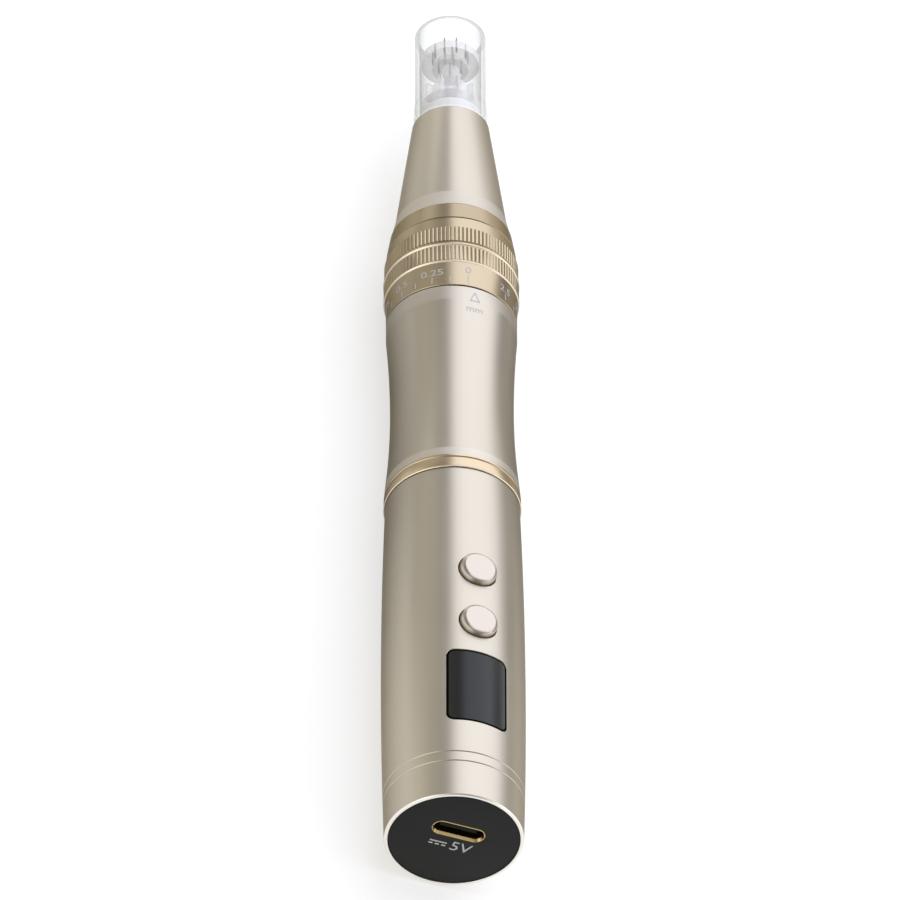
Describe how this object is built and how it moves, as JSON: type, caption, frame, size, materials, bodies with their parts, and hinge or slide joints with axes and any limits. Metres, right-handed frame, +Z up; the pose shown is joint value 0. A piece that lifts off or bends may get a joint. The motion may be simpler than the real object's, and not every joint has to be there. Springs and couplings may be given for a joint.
{
  "type": "microneedling pen",
  "caption": "Cylindrical electric microneedling pen with a waisted grip, a knurled depth ring, a screen, two buttons and a clear needle cartridge.",
  "frame": {"origin": "centre of the pen's length, midway across it, on the surface it lies on", "axes": "+Y along the pen from tail to needle tip, +Z up through the screen and buttons, +X to the right seen from the tail"},
  "size_m": [0.0234, 0.175, 0.0244],
  "materials": {
    "satin_body": "satin anodised champagne",
    "gold_trim": "satin anodised gold",
    "button_metal": "bright anodised rose champagne",
    "cap_black": "fine matt black",
    "screen_black": "satin tinted window",
    "screen_panel": "glossy",
    "port_gold": "gold plated",
    "port_plastic": "moulded",
    "board_green": "solder mask",
    "component_black": "moulded",
    "frame_grey": "moulded",
    "steel": "machined",
    "nickel": "nickel plated",
    "lead_red": "insulation",
    "cell_wrap": "shrink sleeve",
    "plain_aluminium": "machined",
    "motor_steel": "drawn can",
    "acetal": "acetal",
    "bronze": "sintered",
    "washer_black": "slip washer",
    "rubber_black": "moulded",
    "silicone_clear": "silicone",
    "clear_plastic": "clear polycarbonate",
    "frosted_plastic": "clear moulded with ribs"
  },
  "bodies": {
    "handle": {"rear_barrel": "satin_body", "tail_cap": "cap_black", "usb_shell": "port_gold", "usb_insulator": "port_plastic", "usb_contacts": "port_gold", "main_board": "board_green", "board_screws": "steel", "board_chips": "component_black", "display_module": "screen_panel", "display_frame": "frame_grey", "display_lens": "screen_black", "switch_lower": "component_black", "switch_upper": "component_black", "battery_cell": "cell_wrap", "battery_tabs": "nickel", "battery_leads": "lead_red", "chassis": "frame_grey", "joining_sleeve": "plain_aluminium", "mid_ring": "gold_trim", "grip_sleeve": "satin_body", "spine_tube": "plain_aluminium", "thrust_washer": "washer_black", "front_collar": "gold_trim", "nose_cone": "satin_body", "rod_seal": "rubber_black"},
    "lower_button": {"button_lower": "button_metal"},
    "upper_button": {"button_upper": "button_metal"},
    "ring": {"depth_ring": "gold_trim", "friction_o_ring": "rubber_black"},
    "motor_carriage": {"carriage": "plain_aluminium", "carriage_pin": "steel", "motor_can": "motor_steel", "motor_cap": "component_black", "motor_screws": "steel", "guide_bush": "bronze"},
    "rotor": {"motor_shaft": "steel", "barrel_cam": "acetal"},
    "rod": {"drive_rod": "plain_aluminium", "follower_pin": "steel"},
    "cartridge": {"cartridge_shell": "clear_plastic", "neck_o_ring": "silicone_clear", "cartridge_guide": "frosted_plastic"},
    "needle_unit": {"needle_plunger": "frosted_plastic", "needle_plate": "frosted_plastic", "needles": "steel"}
  },
  "joints": [
    {"name": "ring_turn", "type": "hinge", "parent": "handle", "child": "ring", "pos_m": [0, 0.0304, 0.01167], "axis": [0, 1, 0], "range_deg": [0, 326]},
    {"name": "carriage_slide", "type": "slide", "parent": "handle", "child": "motor_carriage", "axis": [0, 1, 0], "range_m": [0, 0.00255]},
    {"name": "motor_spin", "type": "hinge", "parent": "motor_carriage", "child": "rotor", "pos_m": [0, 0.0155, 0.01167], "axis": [0, 1, 0], "range_deg": [0, 180]},
    {"name": "rod_stroke", "type": "slide", "parent": "motor_carriage", "child": "rod", "axis": [0, 1, 0], "range_m": [0, 0.002]},
    {"name": "cartridge_pull", "type": "slide", "parent": "handle", "child": "cartridge", "axis": [0, 1, 0], "range_m": [0, 0.025]},
    {"name": "needle_pull", "type": "slide", "parent": "rod", "child": "needle_unit", "axis": [0, 1, 0], "range_m": [0, 0.025]},
    {"name": "lower_button_press", "type": "slide", "parent": "handle", "child": "lower_button", "axis": [0, 0, -1], "range_m": [0, 0.00035], "stiffness_N_per_m": 800, "springref_m": -0.001},
    {"name": "upper_button_press", "type": "slide", "parent": "handle", "child": "upper_button", "axis": [0, 0, -1], "range_m": [0, 0.00035], "stiffness_N_per_m": 800, "springref_m": -0.001}
  ],
  "couplings": [
    {"joint": "ring_turn", "follows": "carriage_slide", "rad_per_m": 2234},
    {"joint": "motor_spin", "follows": "rod_stroke", "rad_per_m": 1570.8},
    {"joint": "needle_pull", "follows": "cartridge_pull", "ratio": 1}
  ]
}
